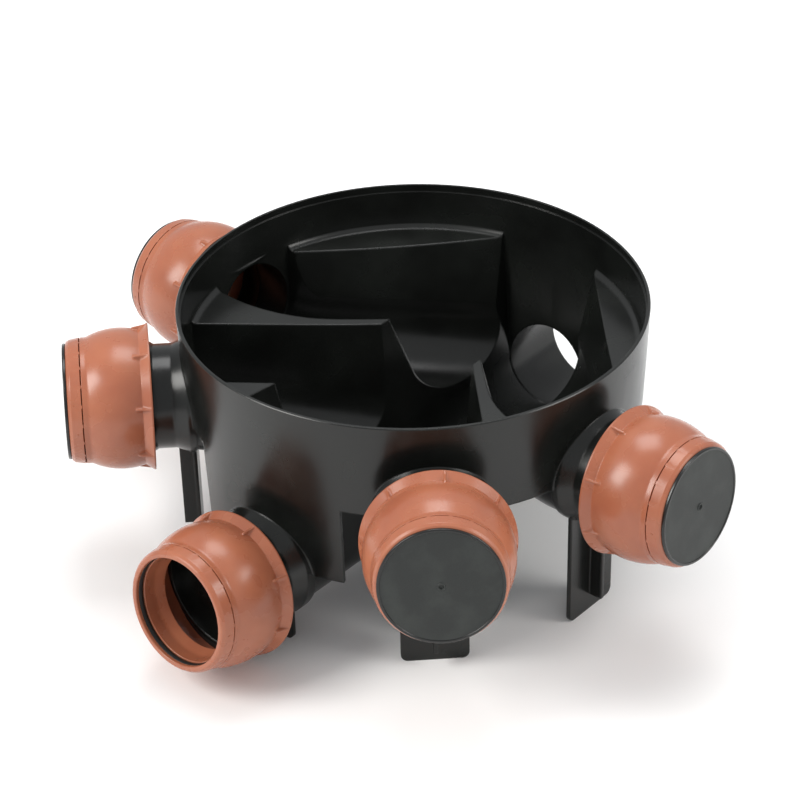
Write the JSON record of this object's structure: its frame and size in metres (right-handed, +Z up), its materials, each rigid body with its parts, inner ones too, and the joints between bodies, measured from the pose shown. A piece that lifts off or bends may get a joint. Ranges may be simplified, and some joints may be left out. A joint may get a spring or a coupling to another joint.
{
  "type": "drain inspection chamber base",
  "caption": "Round drain inspection chamber base with a falling main run, side branches, benching, legs, ball-jointed pipe sockets and blanking plugs.",
  "frame": {"origin": "on the ground that the legs stand on, under the middle of the chamber", "axes": "+Z up along the chamber's axis, +X downstream along the main run towards the outlet spigot"},
  "size_m": [0.6776, 0.7371, 0.287],
  "materials": {
    "black_polypropylene": "glossy",
    "terracotta_polypropylene": "satin",
    "seal_rubber": "satin",
    "dark_plug_plastic": "matte"
  },
  "bodies": {
    "base": {"chamber_base": "black_polypropylene"},
    "ball_seal_main": {"ball_seal_main": "seal_rubber"},
    "socket_main": {"socket_main": "terracotta_polypropylene", "pipe_seal_main": "seal_rubber", "snap_ring_main": "terracotta_polypropylene"},
    "ball_seal_left_up": {"ball_seal_left_up": "seal_rubber"},
    "socket_left_up": {"socket_left_up": "terracotta_polypropylene", "pipe_seal_left_up": "seal_rubber", "snap_ring_left_up": "terracotta_polypropylene"},
    "plug_left_up": {"plug_left_up": "dark_plug_plastic"},
    "ball_seal_left_side": {"ball_seal_left_side": "seal_rubber"},
    "socket_left_side": {"socket_left_side": "terracotta_polypropylene", "pipe_seal_left_side": "seal_rubber", "snap_ring_left_side": "terracotta_polypropylene"},
    "plug_left_side": {"plug_left_side": "dark_plug_plastic"},
    "ball_seal_right_up": {"ball_seal_right_up": "seal_rubber"},
    "socket_right_up": {"socket_right_up": "terracotta_polypropylene", "pipe_seal_right_up": "seal_rubber", "snap_ring_right_up": "terracotta_polypropylene"},
    "plug_right_up": {"plug_right_up": "dark_plug_plastic"},
    "ball_seal_right_side": {"ball_seal_right_side": "seal_rubber"},
    "socket_right_side": {"socket_right_side": "terracotta_polypropylene", "pipe_seal_right_side": "seal_rubber", "snap_ring_right_side": "terracotta_polypropylene"},
    "plug_right_side": {"plug_right_side": "dark_plug_plastic"}
  },
  "joints": [
    {"name": "swing_main", "type": "hinge", "parent": "base", "child": "ball_seal_main", "pos_m": [-0.308, 0, 0.086], "axis": [0, 0, 1], "range_deg": [-10, 10]},
    {"name": "tilt_main", "type": "hinge", "parent": "ball_seal_main", "child": "socket_main", "pos_m": [-0.308, 0, 0.086], "axis": [0, 1, 0], "range_deg": [-19, 1]},
    {"name": "swing_left_up", "type": "hinge", "parent": "base", "child": "ball_seal_left_up", "pos_m": [-0.21779, 0.21779, 0.183], "axis": [0, 0, 1], "range_deg": [-13, 7]},
    {"name": "tilt_left_up", "type": "hinge", "parent": "ball_seal_left_up", "child": "socket_left_up", "pos_m": [-0.21779, 0.21779, 0.183], "axis": [0.6691, 0.7431, 0], "range_deg": [-11.5, 8.5]},
    {"name": "pull_plug_left_up", "type": "slide", "parent": "socket_left_up", "child": "plug_left_up", "axis": [-0.7429, 0.6689, 0.0262], "range_m": [0, 0.028]},
    {"name": "swing_left_side", "type": "hinge", "parent": "base", "child": "ball_seal_left_side", "pos_m": [0, 0.308, 0.183], "axis": [0, 0, 1], "range_deg": [-10, 10]},
    {"name": "tilt_left_side", "type": "hinge", "parent": "ball_seal_left_side", "child": "socket_left_side", "pos_m": [0, 0.308, 0.183], "axis": [1, 0, 0], "range_deg": [-10, 10]},
    {"name": "pull_plug_left_side", "type": "slide", "parent": "socket_left_side", "child": "plug_left_side", "axis": [0, 1, 0], "range_m": [0, 0.028]},
    {"name": "swing_right_up", "type": "hinge", "parent": "base", "child": "ball_seal_right_up", "pos_m": [-0.21779, -0.21779, 0.183], "axis": [0, 0, 1], "range_deg": [-7, 13]},
    {"name": "tilt_right_up", "type": "hinge", "parent": "ball_seal_right_up", "child": "socket_right_up", "pos_m": [-0.21779, -0.21779, 0.183], "axis": [-0.6691, 0.7431, 0], "range_deg": [-18.5, 1.5]},
    {"name": "pull_plug_right_up", "type": "slide", "parent": "socket_right_up", "child": "plug_right_up", "axis": [-0.735, -0.6618, 0.1478], "range_m": [0, 0.028]},
    {"name": "swing_right_side", "type": "hinge", "parent": "base", "child": "ball_seal_right_side", "pos_m": [0, -0.308, 0.183], "axis": [0, 0, 1], "range_deg": [-10, 10]},
    {"name": "tilt_right_side", "type": "hinge", "parent": "ball_seal_right_side", "child": "socket_right_side", "pos_m": [0, -0.308, 0.183], "axis": [-1, 0, 0], "range_deg": [-14.5, 5.5]},
    {"name": "pull_plug_right_side", "type": "slide", "parent": "socket_right_side", "child": "plug_right_side", "axis": [0, -0.9969, 0.0785], "range_m": [0, 0.028]}
  ]
}
